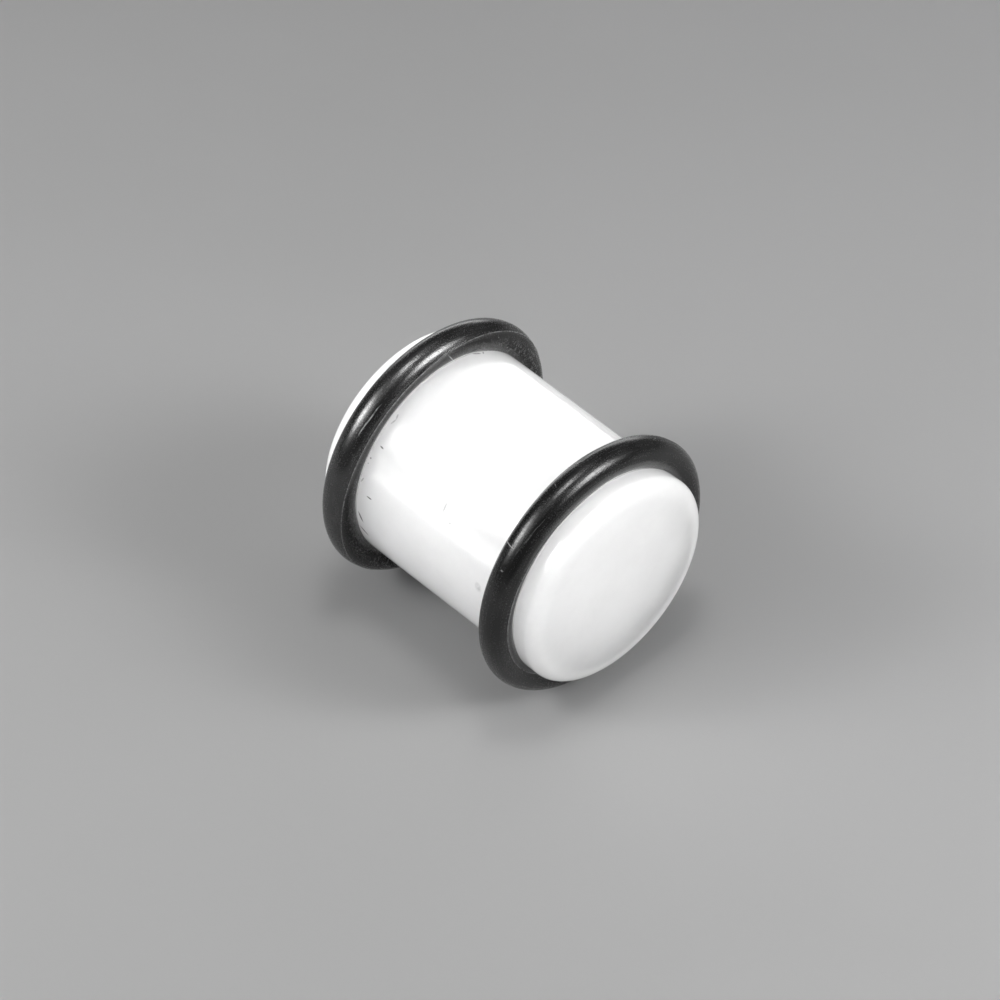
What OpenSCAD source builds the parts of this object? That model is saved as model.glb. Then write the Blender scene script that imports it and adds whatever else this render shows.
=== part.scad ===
// Straight ear plug for a stretched lobe, lying on its side on the two rubber rings that keep it in.
// X runs along the plug, Z is up, and the rings touch the plane Z = 0. Millimetres.

/* [Plug body] */
// Diameter of the straight barrel, which is the size of the hole that it is worn in
barrel_d = 12.7; // [12:0.1:14]
// Length of the plug from end face to end face
plug_l = 16.6; // [16.4:0.1:20]
// Radius of the rounded shoulder between each flat end face and the barrel
shoulder_r = 0.7; // [0.3:0.05:0.9]

/* [Retaining rings] */
// Distance between the middles of the two rings
ring_spacing = 12.2; // [10:0.1:12.6]
// Thickness of the rubber cord that each ring is made of
cord_d = 1.78; // [1.5:0.01:2]
// Depth of the round groove that each ring sits in
groove_depth = 0.38; // [0.2:0.01:0.6]
// Space left between the rubber and the groove
ring_gap = 0.05; // [0.03:0.01:0.1]

/* [Hidden] */
// Segments of a full circle where the curves are drawn as a mesh
$fn = 128;

barrel_r = barrel_d / 2;
half_l = plug_l / 2;
cord_r = cord_d / 2;
groove_r = cord_r + ring_gap;

// Radius of the circle that runs through the middle of the rubber cord
ring_r = barrel_r - groove_depth + groove_r;
// Height of the plug's axis above the surface that it lies on
axis_z = ring_r + cord_r;

// Centre of the shoulder's arc in the outline, where x is the distance from the axis and y runs along it
shoulder_x = barrel_r - shoulder_r;
shoulder_y = half_l - shoulder_r;

// Half of the plug's outline, from its middle to the front face
module half_outline() {
    square([shoulder_x, half_l]);
    square([barrel_r, shoulder_y]);
    translate([shoulder_x, shoulder_y]) circle(r = shoulder_r);
}

// The whole outline, with a round groove cut for each ring
module plug_outline() {
    difference() {
        union() {
            half_outline();
            mirror([0, 1]) half_outline();
        }
        for (side = [-1, 1])
            translate([ring_r, side * ring_spacing / 2]) circle(r = groove_r);
    }
}

// Lays an outline's axis along X, at the height where the rings touch the surface
module turned_along_x() {
    translate([0, 0, axis_z]) rotate([0, 90, 0]) rotate_extrude() children();
}

// Solid plug in one piece, with no bore
module plug_body() {
    color("white") turned_along_x() plug_outline();
}

// Rubber ring: side is 1 for the front one and -1 for the rear one
module o_ring(side) {
    color("black")
        turned_along_x()
            translate([ring_r, side * ring_spacing / 2]) circle(r = cord_r);
}

plug_body();
o_ring(1);  // front_o_ring
o_ring(-1);  // rear_o_ring
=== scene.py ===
"""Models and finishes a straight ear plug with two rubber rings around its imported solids.

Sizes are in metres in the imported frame: X runs along the plug, Z is up and the rings stand on Z = 0.
"""
import math

import bpy
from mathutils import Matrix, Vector


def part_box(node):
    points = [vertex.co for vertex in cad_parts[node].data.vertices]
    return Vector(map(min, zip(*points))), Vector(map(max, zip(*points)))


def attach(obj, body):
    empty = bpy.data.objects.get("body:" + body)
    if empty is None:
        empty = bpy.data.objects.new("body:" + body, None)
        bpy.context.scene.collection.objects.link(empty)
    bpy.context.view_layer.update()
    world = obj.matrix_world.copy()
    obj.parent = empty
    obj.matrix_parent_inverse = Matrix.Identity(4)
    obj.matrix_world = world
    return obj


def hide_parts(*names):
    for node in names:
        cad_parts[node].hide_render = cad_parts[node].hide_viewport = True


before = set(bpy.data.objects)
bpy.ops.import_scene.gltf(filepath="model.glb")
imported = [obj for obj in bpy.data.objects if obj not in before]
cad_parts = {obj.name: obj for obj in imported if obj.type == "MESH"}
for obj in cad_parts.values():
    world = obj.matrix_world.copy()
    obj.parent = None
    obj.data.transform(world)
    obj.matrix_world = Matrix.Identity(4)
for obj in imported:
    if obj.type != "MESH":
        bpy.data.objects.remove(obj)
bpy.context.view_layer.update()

bl_info = {
    "name": "Straight ear plug with rubber rings",
    "version": (1, 0, 0),
    "blender": (4, 5, 0),
    "location": "3D View > Sidebar > Ear Plug",
    "description": "Models and finishes a white acrylic plug, its two rubber rings and a plain stage",
    "category": "Add Mesh",
}

MM = 0.001
FINE = 5
BODY_LOW, BODY_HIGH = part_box("plug_body")
FRONT_LOW, FRONT_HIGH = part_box("front_o_ring")
REAR_LOW, REAR_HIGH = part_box("rear_o_ring")
PLUG_LENGTH = round(BODY_HIGH.x - BODY_LOW.x, FINE)
BARREL_DIAMETER = round(BODY_HIGH.z - BODY_LOW.z, FINE)
CORD_DIAMETER = round(FRONT_HIGH.x - FRONT_LOW.x, FINE)
RING_DIAMETER = round(FRONT_HIGH.z - FRONT_LOW.z, FINE)
RING_SPACING = round((FRONT_LOW.x + FRONT_HIGH.x - REAR_LOW.x - REAR_HIGH.x) / 2, FINE)
AXIS_HEIGHT = RING_DIAMETER / 2

FULL_TURN = 2 * math.pi
QUARTER_TURN = math.pi / 2

# Distance within which a vertex counts as lying on a place, and doubles are merged, in metres
NEAR = 0.000002
DOUBLES = 0.0000005
# Angle below which nothing is turned, in radians
NO_TURN = 1e-9
# Steps of the plug's outline over a shoulder, a groove and the barrel between the grooves, loops over an end
# face, and segments of an eased lip
SHOULDER_STEPS = 18
GROOVE_STEPS = 28
BARREL_STEPS = 16
END_LOOPS = 4
LIP_SEGMENTS = 3
FLOOR_CUTS = 5

ACRYLIC_IOR = 1.49
RUBBER_IOR = 1.55
# How far light goes inside the acrylic before it is turned aside, in metres: through the whole plug, and in
# the thin rim of a face, where most of it comes straight back
DEEP_SCATTER = 0.018
RIM_SCATTER = 0.002
# Noises of the finish: features per metre, octaves of detail and, where given, how rough they are
ACRYLIC_CLOUD = (260.0, 7.0, 0.62)
BROKEN_MARKS = (9000.0, 2.0)
# The next noise breaks the painted shade beside the rings into patches
RING_SHADE_PATCHES = (1500.0, 3.0)
SATIN = (2600.0, 4.0, 0.6)
FACE_GRAIN = (11000.0, 2.0)
RUBBER_PATCHES = (420.0, 4.0, 0.6)
POWDER = (6000.0, 4.0, 0.75)
BEADS = (3800.0, 2.0)
PORES = (13000.0, 2.0)
PEBBLE = (10000.0, 3.0, 0.7)
FLOOR_TONE = (14.0, 4.0)
FLOOR_FIBRE = (5200.0, 2.0)
# Scattered points on the rubber, to the metre
SPECKS = 5200.0
MOTES = 1900.0
# Streaks along a cord: how closely they lie beside each other and how short they are
BROAD_STREAKS = (9.0, 4.0)
FINE_STREAKS = (11.0, 7.0)
# Heights of the small relief, in metres
GRAIN_HEIGHT = 0.000003
WAVE_HEIGHT = 0.000004
PEBBLE_HEIGHT = 0.000013
BROAD_STREAK_HEIGHT = 0.000012
FINE_STREAK_HEIGHT = 0.000010
FIBRE_HEIGHT = 0.000010


def length_property(name, description, default):
    """A size in metres that the sidebar shows as a length."""
    return bpy.props.FloatProperty(
        name=name, description=description, default=default, min=0.0, unit="LENGTH", subtype="DISTANCE",
        precision=6,
    )


def angle_property(name, description, degrees):
    """An angle that the sidebar shows in degrees."""
    return bpy.props.FloatProperty(
        name=name, description=description, default=math.radians(degrees), unit="ROTATION", subtype="ANGLE"
    )


def colour_property(name, description, default):
    """A linear colour with its alpha."""
    return bpy.props.FloatVectorProperty(
        name=name, description=description, default=(*default, 1.0), size=4, min=0.0, max=1.0,
        subtype="COLOR",
    )


class EarPlugSizes(bpy.types.PropertyGroup):
    """Sizes of the plug and its rings."""

    barrel_diameter: length_property("Barrel diameter", "Across the straight barrel", BARREL_DIAMETER)
    plug_length: length_property("Plug length", "From end face to end face", PLUG_LENGTH)
    shoulder: length_property("Shoulder", "How far the rounding reaches along the barrel", 0.7 * MM)
    shoulder_depth: length_property("Shoulder depth", "How far the rounding reaches over a face", 1.15 * MM)
    groove_clearance: length_property("Groove clearance", "Space between rubber and groove", 0.05 * MM)
    lip_break: length_property("Groove lip", "Width of the eased edge of each groove", 0.06 * MM)
    ring_spacing: length_property("Ring spacing", "Between the middles of the rings", RING_SPACING)
    ring_diameter: length_property("Ring diameter", "Across the outside of a ring", RING_DIAMETER)
    cord_diameter: length_property("Cord diameter", "Thickness of the rubber cord", CORD_DIAMETER)
    flash_height: length_property("Flash height", "How proud the mould's parting line stands", 0.02 * MM)
    plug_segments: bpy.props.IntProperty(
        name="Plug segments", description="Segments round the plug", default=288, min=32
    )
    ring_segments: bpy.props.IntProperty(
        name="Ring segments", description="Segments round each ring", default=288, min=32
    )
    cord_segments: bpy.props.IntProperty(
        name="Cord segments", description="Segments round the rubber cord", default=96, min=16
    )


class EarPlugFinish(bpy.types.PropertyGroup):
    """Colours of the plug and its rings."""

    acrylic: colour_property("Acrylic", "Body of the white acrylic", (0.81, 0.81, 0.81))
    acrylic_shade: colour_property("Acrylic shade", "Faint cloud in the acrylic", (0.77, 0.77, 0.77))
    # This dark colour is also used for the painted shade beside each ring
    rubbed_off_and_ring_shade: colour_property("Rubber marks", "Left on the barrel by the rings", (0.06, 0.06, 0.06))
    rubber: colour_property("Rubber", "Body of the black rubber", (0.005, 0.005, 0.005))
    rubber_bloom: colour_property("Rubber bloom", "Greyish film on the rubber", (0.016, 0.016, 0.016))
    dust: colour_property("Dust", "Specks on the rubber", (0.32, 0.32, 0.32))


class EarPlugStage(bpy.types.PropertyGroup):
    """Floor, camera and lights."""

    floor: colour_property("Floor", "Pale floor", (0.31, 0.31, 0.31))
    floor_shade: colour_property("Floor shade", "Darker tone in the floor", (0.29, 0.29, 0.29))
    camera_azimuth: angle_property("Camera azimuth", "Round the plug, 0 looks along +Y", 46.68)
    camera_elevation: angle_property("Camera elevation", "Above the floor", 45.65)
    camera_distance: length_property("Camera distance", "From the point looked at", 298.07 * MM)
    camera_aim: bpy.props.FloatVectorProperty(
        name="Camera aim", description="Point looked at", default=(-0.52 * MM, -0.35 * MM, 7.92 * MM),
        unit="LENGTH", subtype="TRANSLATION", precision=6,
    )
    lens: bpy.props.FloatProperty(
        name="Lens", description="Focal length on a 36 mm sensor", default=200.57, unit="CAMERA"
    )


class Socket:
    """A shader socket that Python's arithmetic works on; each step adds its own Math node."""

    def __init__(self, graph, socket):
        self.graph = graph
        self.socket = socket

    def __add__(self, other):
        return self.graph.math("ADD", self, other)

    def __radd__(self, other):
        return self.graph.math("ADD", other, self)

    def __sub__(self, other):
        return self.graph.math("SUBTRACT", self, other)

    def __rsub__(self, other):
        return self.graph.math("SUBTRACT", other, self)

    def __mul__(self, other):
        return self.graph.math("MULTIPLY", self, other)

    def __rmul__(self, other):
        return self.graph.math("MULTIPLY", other, self)

    def __truediv__(self, other):
        return self.graph.math("DIVIDE", self, other)

    def __neg__(self):
        return self.graph.math("MULTIPLY", self, -1.0)

    def __abs__(self):
        return self.graph.math("ABSOLUTE", self)


class Graph:
    """The node tree of a material, a light or the world."""

    def __init__(self, block):
        self.block = block
        block.use_nodes = True
        self.tree = block.node_tree
        self.tree.nodes.clear()

    def add(self, kind, settings=None, sockets=None):
        """Adds a node: its settings first, then a value or a link for each socket."""
        node = self.tree.nodes.new(kind)
        for key, value in (settings or {}).items():
            setattr(node, key, value)
        for key, value in (sockets or {}).items():
            if isinstance(value, Socket):
                self.tree.links.new(value.socket, node.inputs[key])
            else:
                node.inputs[key].default_value = value
        return node

    def out(self, node, key=0):
        """An output of a node, ready for arithmetic."""
        return Socket(self, node.outputs[key])

    def math(self, operation, *values):
        """One Math node."""
        return self.out(self.add("ShaderNodeMath", {"operation": operation}, dict(enumerate(values))))

    def ease(self, value, start, end):
        """0 before start and 1 after end, with a smooth step between them."""
        sockets = {"Value": value, "From Min": start, "From Max": end, "To Min": 0.0, "To Max": 1.0}
        return self.out(self.add("ShaderNodeMapRange", {"interpolation_type": "SMOOTHSTEP"}, sockets))

    def larger(self, first, second):
        """The larger of two values."""
        return self.math("MAXIMUM", first, second)

    def vector(self, x, y, z):
        """A vector of three values."""
        return self.out(self.add("ShaderNodeCombineXYZ", None, {"X": x, "Y": y, "Z": z}))

    def noise(self, vector, scale, detail=2.0, roughness=0.5, w=None):
        """Noise between 0 and 1, in four dimensions where w is given."""
        settings = {"noise_dimensions": "3D" if w is None else "4D"}
        sockets = {"Vector": vector, "Scale": scale, "Detail": detail, "Roughness": roughness}
        if w is not None:
            sockets["W"] = w
        return self.out(self.add("ShaderNodeTexNoise", settings, sockets))

    def cells(self, vector, scale):
        """Distance to the nearest of scattered points, and that point's own random value."""
        node = self.add("ShaderNodeTexVoronoi", {"feature": "F1"}, {"Vector": vector, "Scale": scale})
        spread = self.add("ShaderNodeSeparateColor", None, {"Color": self.out(node, "Color")})
        return self.out(node, "Distance"), self.out(spread, "Red")

    def blend(self, factor, first, second):
        """A colour between two colours."""
        settings = {"data_type": "RGBA"}
        node = self.add("ShaderNodeMix", settings, {0: factor, 6: first, 7: second})
        return self.out(node, 2)

    def bump(self, height, strength, distance, normal=None):
        """A normal that is tilted by a height, on top of another one where it is given."""
        sockets = {"Height": height, "Strength": strength, "Distance": distance}
        if normal is not None:
            sockets["Normal"] = normal
        return self.out(self.add("ShaderNodeBump", None, sockets))

    def principled(self, sockets):
        """One Principled shader."""
        return self.out(self.add("ShaderNodeBsdfPrincipled", None, sockets))

    def mix(self, factor, first, second):
        """A mixture of two shaders."""
        return self.out(self.add("ShaderNodeMixShader", None, {0: factor, 1: first, 2: second}))

    def finish(self, shader, kind="Material"):
        """Ends the tree in a shader."""
        self.add("ShaderNodeOutput" + kind, None, {"Surface": shader})
        return self.block


class PlugCoordinates:
    """Where a point of the surface is on the plug, in millimetres and radians."""

    def __init__(self, graph):
        self.graph = graph
        self.object = graph.out(graph.add("ShaderNodeTexCoord"), "Object")
        parts = graph.add("ShaderNodeSeparateXYZ", None, {"Vector": self.object})
        self.along = graph.out(parts, "X") / MM
        self.side = graph.out(parts, "Y") / MM
        self.height = (graph.out(parts, "Z") - AXIS_HEIGHT) / MM
        self.radius = graph.math("SQRT", self.side * self.side + self.height * self.height)
        # 0 at the top, growing towards the left side as the front face is looked at from the front left
        self.turn = graph.math("ARCTAN2", -self.side, self.height)


class RingCoordinates(PlugCoordinates):
    """Where a point is on a ring: out and across are measured from the middle of the rubber cord."""

    def __init__(self, graph, ring_x, ring_radius, flash):
        super().__init__(graph)
        self.out = self.radius - ring_radius / MM
        self.across = self.along - ring_x / MM
        self.cosine = self.side / self.radius
        self.sine = self.height / self.radius
        # Angle round the cord: 0 faces away from the plug's axis and a quarter turn faces forward
        self.roll = graph.math("ARCTAN2", self.across, self.out)
        mean, swing, peak = flash
        line = mean + swing * (self.cosine * math.cos(peak) + self.sine * math.sin(peak))
        # 0 on the two parting lines of the mould, and positive on the side that faces the middle
        self.past_flash = graph.math("SINE", self.roll - line)
        self.from_flash = abs(self.past_flash)
        self.inner_side = graph.ease(self.past_flash, 0.25, 0.75)

    def streaks(self, fine, length_scale, detail=3.0):
        """Noise drawn out along the cord, with no seam anywhere on the ring."""
        graph = self.graph
        vector = graph.vector(self.out * fine, self.across * fine, self.cosine * length_scale)
        return graph.noise(vector, 1.0, detail, 0.55, w=self.sine * length_scale)


def streak(graph, around, across, half_length, half_width, slant):
    """A short streak about a point of the surface: 1 in it and 0 outside, with its ends drawn out.

    around and across are the distances from that point in millimetres, round the plug and over the
    surface; at slant 0 the streak runs round the plug, as the rings do.
    """
    cosine = math.cos(math.radians(slant))
    sine = math.sin(math.radians(slant))
    run = (around * cosine + across * sine) / half_length
    offset = (across * cosine - around * sine) / half_width
    return 1 - graph.ease(run * run + offset * offset, 0.25, 1.0)


# Marks that the rubber has left on the barrel: place along the plug in millimetres, turn from the top in
# degrees, half length and half width in millimetres, slant in degrees and darkness
RUBBER_MARKS = (
    (-5.18, -26.3, 0.14, 0.06, 42.0, 0.75),
    (-5.23, -22.0, 0.33, 0.07, -17.0, 0.80),
    (-5.08, 33.8, 0.18, 0.06, 20.0, 0.40),
    (-5.08, 36.8, 0.25, 0.06, -18.0, 0.40),
    (-4.84, 50.2, 0.17, 0.055, 83.0, 0.95),
    (-5.18, 58.0, 0.07, 0.07, 0.0, 0.60),
    (-5.20, 61.0, 0.05, 0.05, 0.0, 0.45),
    (-5.22, 70.5, 0.22, 0.06, -24.0, 0.55),
    (-4.48, 77.0, 0.24, 0.055, 90.0, 1.00),
    (-5.02, 92.8, 0.42, 0.085, 28.0, 1.00),
    (-4.92, 102.8, 0.42, 0.110, 55.0, 1.00),
    (0.4, 55.0, 0.32, 0.050, 3.0, 0.42),
    (1.1, 60.0, 0.06, 0.09, 0.0, 0.35),
    (4.05, 79.8, 0.34, 0.28, 30.0, 0.20),
    (4.12, 80.4, 0.16, 0.12, -20.0, 0.36),
)
# Scratches and nicks in the rubber of each ring: turn round the plug and roll round the cord in degrees,
# half length and half width in millimetres, slant in degrees and brightness
REAR_SCRATCHES = (
    (42.0, 34.0, 1.30, 0.045, -3.8, 0.80),
    (-4.7, 100.0, 0.55, 0.040, 125.0, 1.00),
    (57.7, 48.0, 0.22, 0.025, 70.0, 0.15),
)
FRONT_SCRATCHES = (
    (47.0, -25.0, 0.62, 0.035, 83.0, 1.00),
    (57.3, 6.0, 0.09, 0.055, 75.0, 1.50),
    (39.0, 33.0, 1.40, 0.018, -4.4, 0.20),
    (43.5, 27.0, 1.10, 0.018, -5.0, 0.20),
    (18.0, -17.0, 0.17, 0.030, 66.0, 0.40),
    (-34.5, 9.0, 0.23, 0.035, 19.0, 0.55),
)


# How far the barrel lies hidden to each side of a ring's middle, in millimetres
RING_COVER = 0.74
# Roughness of the barrel and of the faces. Where the roughness passes 0.27, the renderer's denoiser draws a
# thin line round the face, so the satin stays below that
POLISHED = 0.05
SATIN_ROUGHNESS = 0.235
SMEAR_ROUGHNESS = 0.55
RUBBER_ROUGHNESS = 0.15
FLOOR_ROUGHNESS = 0.75


def acrylic_material(finish, sizes):
    """White acrylic, polished on the barrel and satin on the faces, with rubbings left by the rings and
    painted shade beside them.
    """
    graph = Graph(bpy.data.materials.new("white acrylic"))
    at = PlugCoordinates(graph)
    barrel_radius = sizes.barrel_diameter / 2 / MM
    half_length = sizes.plug_length / 2 / MM
    shoulder = sizes.shoulder / MM
    face = graph.ease(abs(at.along), half_length - shoulder * 0.35, half_length - shoulder * 0.05)

    cloud = graph.noise(at.object, *ACRYLIC_CLOUD)
    colour = graph.blend(graph.ease(cloud, 0.35, 0.70), tuple(finish.acrylic), tuple(finish.acrylic_shade))
    marks_and_shade = 0.0
    for along, turn, half_run, half_width, slant, dark in RUBBER_MARKS:
        around = (at.turn - math.radians(turn)) * barrel_radius
        mark = streak(graph, around, at.along - along, half_run, half_width, slant)
        marks_and_shade = graph.larger(marks_and_shade, mark * dark)
    broken = graph.ease(graph.noise(at.object, *BROKEN_MARKS), 0.32, 0.60)
    on_barrel = graph.ease(at.radius, barrel_radius - 0.1, barrel_radius - 0.02)
    marks_and_shade = marks_and_shade * (0.70 + 0.30 * broken) * on_barrel
    # Painted shade beside each ring, on its inner side, broken into patches: the ring's shadow on the barrel,
    # painted darker
    ring_edge = sizes.ring_spacing / 2 / MM - RING_COVER
    beside = graph.ease(abs(at.along), ring_edge - 0.22, ring_edge) * on_barrel
    beside = beside * (1 - graph.ease(abs(at.along), ring_edge + 0.3, ring_edge + 0.4))
    ring_shade = beside * graph.ease(graph.noise(at.object, *RING_SHADE_PATCHES), 0.50, 0.72) * 0.22
    # From here on the dark mask holds the painted shade beside the rings as well as the rubbings
    marks_and_shade = graph.larger(marks_and_shade, ring_shade)

    wipes = graph.noise(graph.vector(at.along * 0.9, at.turn * 14.0, at.radius), 1.6, 4.0, 0.6)
    polish = POLISHED + 0.04 * graph.ease(wipes, 0.4, 0.7) + marks_and_shade * 0.3
    satin = SATIN_ROUGHNESS + 0.03 * graph.noise(at.object, *SATIN)
    roughness = polish + (satin - polish) * face
    grain = graph.noise(at.object, *FACE_GRAIN)
    normal = graph.bump(grain * (0.04 + 0.96 * face), 0.50, GRAIN_HEIGHT)
    long_wave = graph.noise(graph.vector(at.along * 0.5, at.turn * 1.5, 0.0), 1.0, 1.0)
    normal = graph.bump(long_wave, 0.25, WAVE_HEIGHT, normal)
    look = {
        "Base Color": colour, "Roughness": roughness, "Normal": normal, "IOR": ACRYLIC_IOR,
        "Subsurface Weight": 1.0, "Subsurface Radius": (1.0, 1.0, 1.0),
    }
    deep = graph.principled({**look, "Subsurface Scale": DEEP_SCATTER})
    shallow = graph.principled({**look, "Subsurface Scale": RIM_SCATTER})
    # Light that falls on the thin rim of a face comes back from it before it spreads through the plug
    rim = graph.ease(abs(at.along), half_length - shoulder * 1.2, half_length - shoulder * 0.7)
    rim = rim * graph.ease(at.radius, barrel_radius - 1.3, barrel_radius - 0.6) * 0.6
    acrylic = graph.mix(rim, deep, shallow)
    # The dark finish that the rings rubbed off on the barrel, which also paints the shade beside the rings
    smear_and_shade = graph.principled({
        "Base Color": tuple(finish.rubbed_off_and_ring_shade), "Roughness": SMEAR_ROUGHNESS, "Normal": normal,
    })
    return graph.finish(graph.mix(marks_and_shade, acrylic, smear_and_shade))


def rubber_material(name, finish, sizes, ring_x, flash, shine, scratches):
    """Black satin rubber, duller on its inner side, with a faint film, dust and streaks along the cord."""
    graph = Graph(bpy.data.materials.new(name))
    ring_radius = sizes.ring_diameter / 2 - sizes.cord_diameter / 2
    at = RingCoordinates(graph, ring_x, ring_radius, flash)
    streaks = at.streaks(*BROAD_STREAKS)
    fine_streaks = at.streaks(*FINE_STREAKS)
    patches = graph.noise(at.object, *RUBBER_PATCHES)
    film = graph.ease(patches * 0.6 + streaks * 0.4, 0.42, 0.64)
    colour = graph.blend(film, tuple(finish.rubber), tuple(finish.rubber_bloom))

    distance, chance = graph.cells(at.object, SPECKS)
    specks = (1 - graph.ease(distance, 0.08, 0.24)) * graph.ease(chance, 0.84, 1.0)
    distance, chance = graph.cells(at.object, MOTES)
    motes = (1 - graph.ease(distance, 0.03, 0.09)) * graph.ease(chance, 0.86, 1.0)
    powder = graph.ease(graph.noise(at.object, *POWDER), 0.46, 0.70)
    powder = powder * (0.03 * graph.ease(patches, 0.40, 0.70) + 0.36 * at.inner_side)
    dust = graph.larger(graph.larger(specks * 0.24, motes * 0.45), powder)
    beads = graph.ease(graph.noise(at.object, *BEADS), 0.28, 0.62)
    flash_line = (1 - graph.ease(at.from_flash, 0.014, 0.045)) * (0.45 + 0.55 * beads)
    dust = graph.larger(dust, flash_line * 0.42)
    waver = (graph.noise(graph.vector(at.turn * 9.0, 0.0, 0.0), 1.0, 2.0) - 0.5) * 0.16
    cord_radius = sizes.cord_diameter / 2 / MM
    for turn, roll, half_run, half_width, slant, bright in scratches:
        around = (at.turn - math.radians(turn)) * at.radius
        across = (at.roll - math.radians(roll)) * cord_radius + waver
        scratch = streak(graph, around, across, half_run, half_width, slant) * (0.35 + 0.65 * beads)
        dust = graph.larger(dust, scratch * bright)
    colour = graph.blend(dust, colour, tuple(finish.dust))

    pores = graph.ease(graph.noise(at.object, *PORES), 0.46, 0.62)
    roughness = RUBBER_ROUGHNESS + 0.05 * graph.ease(streaks, 0.35, 0.65) + 0.10 * pores + 0.25 * dust
    normal = graph.bump(graph.noise(at.object, *PEBBLE), 0.70, PEBBLE_HEIGHT)
    normal = graph.bump(streaks, 0.20, BROAD_STREAK_HEIGHT, normal)
    normal = graph.bump(fine_streaks, 0.80, FINE_STREAK_HEIGHT, normal)
    look = {"Base Color": colour, "Roughness": roughness, "Normal": normal, "IOR": RUBBER_IOR}
    glossy = graph.principled({**look, "Specular IOR Level": shine})
    dull = graph.principled({**look, "Specular IOR Level": shine * 0.35})
    dulled = graph.ease(at.past_flash, 0.02, 0.30) * 0.85
    return graph.finish(graph.mix(dulled, glossy, dull))


def floor_material(stage):
    """Pale matt card."""
    graph = Graph(bpy.data.materials.new("pale floor"))
    place = graph.out(graph.add("ShaderNodeTexCoord"), "Object")
    tone = graph.ease(graph.noise(place, *FLOOR_TONE), 0.35, 0.70)
    colour = graph.blend(tone, tuple(stage.floor), tuple(stage.floor_shade))
    normal = graph.bump(graph.noise(place, *FLOOR_FIBRE), 0.15, FIBRE_HEIGHT)
    return graph.finish(graph.principled({
        "Base Color": colour, "Roughness": FLOOR_ROUGHNESS + 0.1 * tone, "Normal": normal,
        "Specular IOR Level": 0.3,
    }))


def nothing_selected():
    """Leaves object mode with nothing selected."""
    if bpy.context.object is not None and bpy.context.object.mode != "OBJECT":
        bpy.ops.object.mode_set(mode="OBJECT")
    bpy.ops.object.select_all(action="DESELECT")


def named(name):
    """Names the object that was just added and puts its place in its mesh."""
    piece = bpy.context.object
    piece.name = name
    piece.data.name = name
    bpy.ops.object.transform_apply(location=True, rotation=True, scale=True)
    return piece


def select_vertices(piece, wanted):
    """Selects the vertices whose place satisfies a test, from inside edit mode."""
    bpy.ops.mesh.select_all(action="DESELECT")
    bpy.ops.mesh.select_mode(type="VERT")
    bpy.ops.object.mode_set(mode="OBJECT")
    for vertex in piece.data.vertices:
        vertex.select = wanted(vertex.co)
    bpy.ops.object.mode_set(mode="EDIT")


def from_axis(place):
    """Distance of a place from the plug's axis."""
    return math.hypot(place.y, place.z - AXIS_HEIGHT)


def extrude_along(distance):
    """Extrudes the selected loop along the plug."""
    bpy.ops.mesh.extrude_region_move(
        TRANSFORM_OT_translate={"value": (distance, 0.0, 0.0), "orient_type": "GLOBAL"}
    )


def widen(factor):
    """Scales the selected loop about the plug's axis."""
    bpy.ops.transform.resize(value=(1.0, factor, factor), center_override=(0.0, 0.0, AXIS_HEIGHT))


def close_end():
    """Fills the selected end loop with narrowing loops and a point in the middle."""
    for left in range(END_LOOPS, 1, -1):
        extrude_along(0.0)
        widen((left - 1) / left)
    extrude_along(0.0)
    bpy.ops.mesh.merge(type="CENTER")


def sealed(piece):
    """Merges doubles, turns the faces outwards and shades the surface smooth."""
    bpy.ops.object.mode_set(mode="EDIT")
    bpy.ops.mesh.select_all(action="SELECT")
    bpy.ops.mesh.remove_doubles(threshold=DOUBLES)
    bpy.ops.mesh.normals_make_consistent(inside=False)
    bpy.ops.object.mode_set(mode="OBJECT")
    bpy.ops.object.shade_smooth()
    if any(len(polygon.vertices) < 3 for polygon in piece.data.polygons):
        raise RuntimeError(piece.name + " has a broken face")


# Power of the cosine in a shoulder's arc; below 1 the rounding flattens out little by little into the face
SHOULDER_FADE = 0.77


def arc(centre, reach, start, end, steps, fade=1.0):
    """Points of an arc in the outline, as place along the plug and distance from its axis.

    reach is how far the arc reaches from its centre along the plug and away from its axis.
    """
    points = []
    for step in range(steps + 1):
        angle = start + (end - start) * step / steps
        outwards = reach[1] * math.cos(angle) ** fade
        points.append((centre[0] + reach[0] * math.sin(angle), centre[1] + outwards))
    return points


def plug_outline(sizes):
    """The plug's outline from the rear face to the front face."""
    radius = sizes.barrel_diameter / 2
    half = sizes.plug_length / 2
    shoulder = (sizes.shoulder, sizes.shoulder_depth)
    ring_x = sizes.ring_spacing / 2
    groove = sizes.cord_diameter / 2 + sizes.groove_clearance
    groove_centre = sizes.ring_diameter / 2 - sizes.cord_diameter / 2
    lip = math.acos((radius - groove_centre) / groove)
    shoulder_x = half - shoulder[0]
    flat = radius - shoulder[1]
    rear = arc((-shoulder_x, flat), shoulder, -QUARTER_TURN, 0.0, SHOULDER_STEPS, SHOULDER_FADE)
    front = arc((shoulder_x, flat), shoulder, 0.0, QUARTER_TURN, SHOULDER_STEPS, SHOULDER_FADE)
    outline = list(rear)
    for place in (-ring_x, ring_x):
        outline += arc((place, groove_centre), (groove, groove), -lip, -FULL_TURN + lip, GROOVE_STEPS)
        if place < 0:
            start = outline[-1][0]
            for step in range(1, BARREL_STEPS):
                outline.append((start - 2 * start * step / BARREL_STEPS, radius))
    return outline + front


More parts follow.
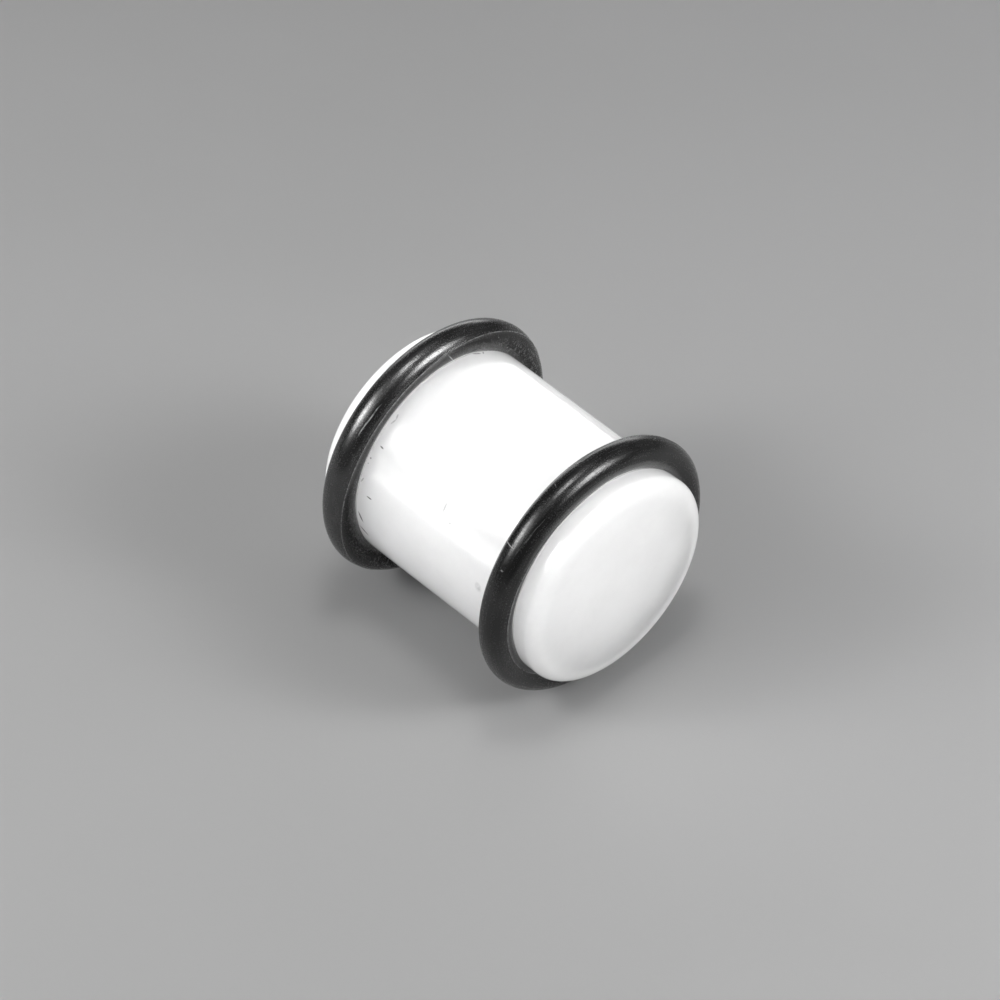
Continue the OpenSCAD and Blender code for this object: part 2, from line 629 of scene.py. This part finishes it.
class EARPLUG_OT_plug_body(bpy.types.Operator):
    """Turns the plug's body with its rounded shoulders and two round grooves"""

    bl_idname = "ear_plug.plug_body"
    bl_label = "Plug body"

    def execute(self, context):
        sizes = context.scene.ear_plug_sizes
        outline = plug_outline(sizes)
        nothing_selected()
        start_x, start_radius = outline[0]
        bpy.ops.mesh.primitive_circle_add(
            vertices=sizes.plug_segments, radius=start_radius, fill_type="NOTHING",
            location=(start_x, 0.0, AXIS_HEIGHT), rotation=(0.0, QUARTER_TURN, 0.0),
        )
        piece = named("turned_acrylic_plug")
        bpy.ops.object.mode_set(mode="EDIT")
        bpy.ops.mesh.select_all(action="SELECT")
        for (last_x, last_radius), (next_x, next_radius) in zip(outline, outline[1:]):
            extrude_along(next_x - last_x)
            widen(next_radius / last_radius)
        close_end()
        select_vertices(piece, lambda place: place.x < start_x + NEAR / 2)
        close_end()
        self.ease_lips(piece, sizes)
        sealed(piece)
        piece.data.materials.append(acrylic_material(context.scene.ear_plug_finish, sizes))
        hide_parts("plug_body")
        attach(piece, "root")
        return {"FINISHED"}

    def ease_lips(self, piece, sizes):
        """Takes the sharp edge off the lips of both grooves."""
        radius = sizes.barrel_diameter / 2
        ring_x = sizes.ring_spacing / 2
        groove = sizes.cord_diameter / 2 + sizes.groove_clearance
        drop = sizes.ring_diameter / 2 - sizes.cord_diameter / 2 - radius
        lip = math.sqrt(groove * groove - drop * drop)

        def on_lip(place):
            return abs(abs(abs(place.x) - ring_x) - lip) < NEAR and abs(from_axis(place) - radius) < NEAR

        select_vertices(piece, on_lip)
        bpy.ops.mesh.select_mode(use_extend=False, use_expand=False, type="EDGE")
        bpy.ops.mesh.bevel(offset=sizes.lip_break, segments=LIP_SEGMENTS, affect="EDGES")


# Each ring's own look: how strongly its rubber shines, its scratches, and where the mould's parting line
# runs round the cord, which has rolled a little on the plug: mean angle, swing, and the turn round the
# plug where it is furthest forward, in degrees
REAR_LOOK = {
    "shine": 0.90, "scratches": REAR_SCRATCHES,
    "flash": tuple(math.radians(angle) for angle in (33.3, 42.1, 122.4)),
}
FRONT_LOOK = {
    "shine": 0.48, "scratches": FRONT_SCRATCHES,
    "flash": tuple(math.radians(angle) for angle in (149.6, 61.0, 345.0)),
}


# The parting line's ridge and its foot on both sides: how far each reaches, in steps of the cord's section,
# and how high the foot is beside the ridge
RIDGE_REACH = 0.4
FOOT_REACH = 1.6
FOOT_HEIGHT = 0.25


def rubber_ring(context, name, side, look):
    """Extrudes the cord's section round the plug, rolling it as the real ring has rolled."""
    sizes = context.scene.ear_plug_sizes
    ring_x = side * sizes.ring_spacing / 2
    cord = sizes.cord_diameter / 2
    ring_radius = sizes.ring_diameter / 2 - cord
    steps = sizes.ring_segments
    mean, swing, peak = look["flash"]

    def roll_at(step):
        return mean + swing * math.cos(FULL_TURN * step / steps - peak)

    nothing_selected()
    section = Vector((ring_x, ring_radius, AXIS_HEIGHT))
    bpy.ops.mesh.primitive_circle_add(
        vertices=sizes.cord_segments, radius=cord, fill_type="NOTHING", location=section
    )
    piece = named(name)
    bpy.ops.object.mode_set(mode="EDIT")
    spacing = cord * math.sin(FULL_TURN / sizes.cord_segments)
    raise_flash(piece, section, spacing * RIDGE_REACH, 1 + sizes.flash_height / cord)
    raise_flash(piece, section, spacing * FOOT_REACH, 1 + FOOT_HEIGHT * sizes.flash_height / cord)
    bpy.ops.mesh.select_all(action="SELECT")
    rolled = 0.0
    turned = 0.0
    for step in range(steps + 1):
        if step:
            bpy.ops.mesh.extrude_region_move(TRANSFORM_OT_translate={"value": (0.0, 0.0, 0.0)})
            turn_about("X", -turned, (0.0, 0.0, AXIS_HEIGHT))
        roll = roll_at(step)
        turn_about("Z", -(roll - rolled), section)
        turned = FULL_TURN * step / steps
        turn_about("X", turned, (0.0, 0.0, AXIS_HEIGHT))
        rolled = roll
    sealed(piece)
    piece.data.materials.append(
        rubber_material(name.replace("_", " "), context.scene.ear_plug_finish, sizes, ring_x, **look)
    )
    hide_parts("front_o_ring" if side > 0 else "rear_o_ring")
    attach(piece, "root")


def raise_flash(piece, section, reach, factor):
    """Moves the section's points near its two parting lines outwards."""
    select_vertices(piece, lambda place: abs(place.x - section.x) < reach)
    bpy.ops.transform.resize(value=(factor, factor, factor), center_override=section)


def turn_about(axis, angle, centre):
    """Turns what is selected right-handed about an axis.

    Run without a window, Blender's operator turns the other way, so its angle is negative here.
    """
    if abs(angle) > NO_TURN:
        bpy.ops.transform.rotate(
            value=-angle, orient_axis=axis, orient_type="GLOBAL", center_override=centre
        )


class EARPLUG_OT_rubber_rings(bpy.types.Operator):
    """Models the two rubber rings with the parting line of their mould"""

    bl_idname = "ear_plug.rubber_rings"
    bl_label = "Rubber rings"

    def execute(self, context):
        rubber_ring(context, "front_rubber_ring", 1, FRONT_LOOK)
        rubber_ring(context, "rear_rubber_ring", -1, REAR_LOOK)
        return {"FINISHED"}


# Soft boxes that face the plug: azimuth and elevation in degrees, distance and the spread of the glow in the
# middle of the box in metres, and the glow's brightness
SOFT_BOXES = {
    "left soft box": (-29.0, 38.3, 0.160, 0.0175, 20.3),
    "left fill box": (0.0, 44.0, 0.160, 0.0200, 3.0),
    "right soft box": (118.0, 36.2, 0.160, 0.0175, 25.5),
    "right fill box": (118.0, 36.2, 0.160, 0.0175, 14.5),
    "front soft box": (90.0, 25.0, 0.200, 0.0400, 6.3),
    "back soft box": (-85.0, 30.0, 0.200, 0.0300, 4.8),
}
# How many spreads of glow reach from the middle of a box to its edge, and the wide glow round the middle
# one: how many times wider and how strong beside it
BOX_REACH = 4.4
HALO_WIDTH = 2.4
HALO_STRENGTH = 0.09
# Strip lights that stand on the floor: two that glint along the barrel, a tall one behind that the barrel
# reflects beside the rear ring and along its far edge, and a low one behind that rims the rings. Each has its
# azimuth in degrees, then distance, the heights of the lower and upper edge and width in metres, and the
# brightness at the lower edge, above which it fades
STRIPS = {
    "low strip": (-31.0, 0.080, 0.0008, 0.0400, 0.036, 4.0),
    "glint strip": (-31.0, 0.079, 0.0008, 0.0070, 0.036, 1.6),
    "tall strip": (-143.0, 0.050, 0.0008, 0.1500, 0.080, 1.8),
    "back strip": (-128.0, 0.250, 0.0010, 0.0800, 0.300, 3.8),
}
# Lights that shine on some pieces and leave the others alone
SHINES_ON = {
    "right soft box": ("front_rubber_ring", "rear_rubber_ring", "floor"),
    "right fill box": ("turned_acrylic_plug",),
    "low strip": ("turned_acrylic_plug",),
    "glint strip": ("turned_acrylic_plug",),
    "tall strip": ("turned_acrylic_plug",),
    "front soft box": ("turned_acrylic_plug",),
    "back soft box": ("turned_acrylic_plug",),
    "back strip": ("front_rubber_ring", "rear_rubber_ring"),
}
# Boxes that hang overhead: height above the plug's axis, width and depth in metres, and brightness
OVERHEAD = {
    "overhead box": (0.200, 0.048, 0.048, 14.0),
    "ceiling": (1.200, 1.200, 1.200, 0.45),
}
WORLD_BRIGHTNESS = 0.10
# Size of the floor and the camera's clipping distances, in metres, and the sensor's width in millimetres
FLOOR_SIZE = 3.0
CLIP_NEAR = 0.01
CLIP_FAR = 10.0
SENSOR_WIDTH = 36.0


def direction(azimuth, elevation):
    """Unit vector towards a light or camera; azimuth 0 is the -Y side and 90 the +X side."""
    level = math.cos(elevation)
    return Vector((math.sin(azimuth) * level, -math.cos(azimuth) * level, math.sin(elevation)))


class EARPLUG_OT_stage(bpy.types.Operator):
    """Sets the pale floor, the soft lights and the camera"""

    bl_idname = "ear_plug.stage"
    bl_label = "Stage"

    def execute(self, context):
        stage = context.scene.ear_plug_stage
        nothing_selected()
        bpy.ops.mesh.primitive_plane_add(size=FLOOR_SIZE, location=(0.0, 0.0, 0.0))
        floor = named("floor")
        bpy.ops.object.mode_set(mode="EDIT")
        bpy.ops.mesh.subdivide(number_cuts=FLOOR_CUTS)
        bpy.ops.object.mode_set(mode="OBJECT")
        floor.data.materials.append(floor_material(stage))
        self.light_scene(context)
        self.place_camera(context, stage)
        return {"FINISHED"}

    def light_scene(self, context):
        """Stands soft boxes and strips round the plug, hangs two even boxes above it and sets the walls."""
        axis = Vector((0.0, 0.0, AXIS_HEIGHT))
        for name, (azimuth, elevation, distance, spread, brightness) in SOFT_BOXES.items():
            towards = direction(math.radians(azimuth), math.radians(elevation))
            size = 2 * BOX_REACH * spread
            lamp = self.area_lamp(context, name, axis + towards * distance, towards, size, size)
            graph = Graph(lamp)
            across, up = self.place_on_lamp(graph)
            square = across * across + up * up
            core = graph.math("EXPONENT", square * (-0.5 * BOX_REACH ** 2))
            halo = graph.math("EXPONENT", square * (-0.5 * (BOX_REACH / HALO_WIDTH) ** 2))
            # The halo ends in a circle, since the polished barrel would show the box's edge
            halo = halo * (1 - graph.ease(square, 0.4, 1.0))
            self.glow(graph, (core + halo * HALO_STRENGTH) * brightness)
        for name, (azimuth, distance, low, high, width, brightness) in STRIPS.items():
            towards = direction(math.radians(azimuth), 0.0)
            place = towards * distance + Vector((0.0, 0.0, (low + high) / 2))
            graph = Graph(self.area_lamp(context, name, place, towards, width, high - low))
            across, up = self.place_on_lamp(graph)
            fade = 1 - graph.ease(up, -1.0, 1.0)
            sides = 1 - graph.ease(abs(across), 0.5, 1.0)
            self.glow(graph, fade * sides * brightness)
        for name, (height, width, depth, brightness) in OVERHEAD.items():
            upwards = Vector((0.0, 0.0, 1.0))
            lamp = self.area_lamp(context, name, axis + upwards * height, upwards, width, depth)
            lamp.energy *= brightness
        for name, pieces in SHINES_ON.items():
            lit = bpy.data.collections.new("lit by the " + name)
            for piece in pieces:
                lit.objects.link(context.scene.objects[piece])
            context.scene.objects[name].light_linking.receiver_collection = lit
        world = Graph(bpy.data.worlds.new("studio walls"))
        light = {"Color": (1.0, 1.0, 1.0, 1.0), "Strength": WORLD_BRIGHTNESS}
        background = world.add("ShaderNodeBackground", None, light)
        context.scene.world = world.finish(world.out(background), "World")

    def place_on_lamp(self, graph):
        """Where a point of a lamp is, from -1 to 1 both ways, with its middle at 0."""
        place = graph.out(graph.add("ShaderNodeNewGeometry"), "Parametric")
        parts = graph.add("ShaderNodeSeparateXYZ", None, {"Vector": place})
        return graph.out(parts, "X") * 2 - 1, graph.out(parts, "Y") * 2 - 1

    def glow(self, graph, strength):
        """Ends a lamp's tree in a light of this strength."""
        emission = graph.add("ShaderNodeEmission", None, {"Strength": strength})
        graph.finish(graph.out(emission), "Light")

    def area_lamp(self, context, name, place, towards, width, height):
        """A rectangle that shines back along a direction with a brightness of one."""
        nothing_selected()
        bpy.ops.object.light_add(type="AREA", location=place)
        lamp = context.object
        lamp.name = name
        lamp.rotation_euler = (-towards).to_track_quat("-Z", "Y").to_euler()
        lamp.visible_camera = False
        lamp.data.shape = "RECTANGLE"
        lamp.data.size = width
        lamp.data.size_y = height
        lamp.data.energy = math.pi * width * height
        return lamp.data

    def place_camera(self, context, stage):
        """Sets the camera at the photograph's angle."""
        towards = direction(stage.camera_azimuth, stage.camera_elevation)
        nothing_selected()
        aim = Vector(stage.camera_aim)
        bpy.ops.object.camera_add(location=aim + towards * stage.camera_distance)
        camera = context.object
        camera.name = "camera"
        camera.rotation_euler = (-towards).to_track_quat("-Z", "Y").to_euler()
        camera.data.lens = stage.lens
        camera.data.sensor_width = SENSOR_WIDTH
        camera.data.clip_start = CLIP_NEAR
        camera.data.clip_end = CLIP_FAR
        context.scene.camera = camera
        context.scene.view_settings.view_transform = "Standard"


class EARPLUG_PT_panel(bpy.types.Panel):
    """Lists the plug's operators and settings"""

    bl_idname = "EARPLUG_PT_panel"
    bl_label = "Ear Plug"
    bl_space_type = "VIEW_3D"
    bl_region_type = "UI"
    bl_category = "Ear Plug"

    def draw(self, context):
        layout = self.layout
        for operator in STEPS:
            layout.operator(operator.bl_idname)
        for group in PROPERTY_GROUPS:
            settings = getattr(context.scene, group)
            box = layout.box()
            for key in settings.__annotations__:
                box.prop(settings, key)


PROPERTY_GROUPS = {
    "ear_plug_sizes": EarPlugSizes,
    "ear_plug_finish": EarPlugFinish,
    "ear_plug_stage": EarPlugStage,
}
STEPS = (EARPLUG_OT_plug_body, EARPLUG_OT_rubber_rings, EARPLUG_OT_stage)
CLASSES = (*PROPERTY_GROUPS.values(), *STEPS, EARPLUG_PT_panel)


def register():
    for kind in CLASSES:
        bpy.utils.register_class(kind)
    for name, group in PROPERTY_GROUPS.items():
        setattr(bpy.types.Scene, name, bpy.props.PointerProperty(type=group))


def unregister():
    for name in PROPERTY_GROUPS:
        delattr(bpy.types.Scene, name)
    for kind in reversed(CLASSES):
        bpy.utils.unregister_class(kind)


def main():
    register()
    bpy.ops.ear_plug.plug_body()
    bpy.ops.ear_plug.rubber_rings()
    bpy.ops.ear_plug.stage()


if __name__ == "__main__":
    main()
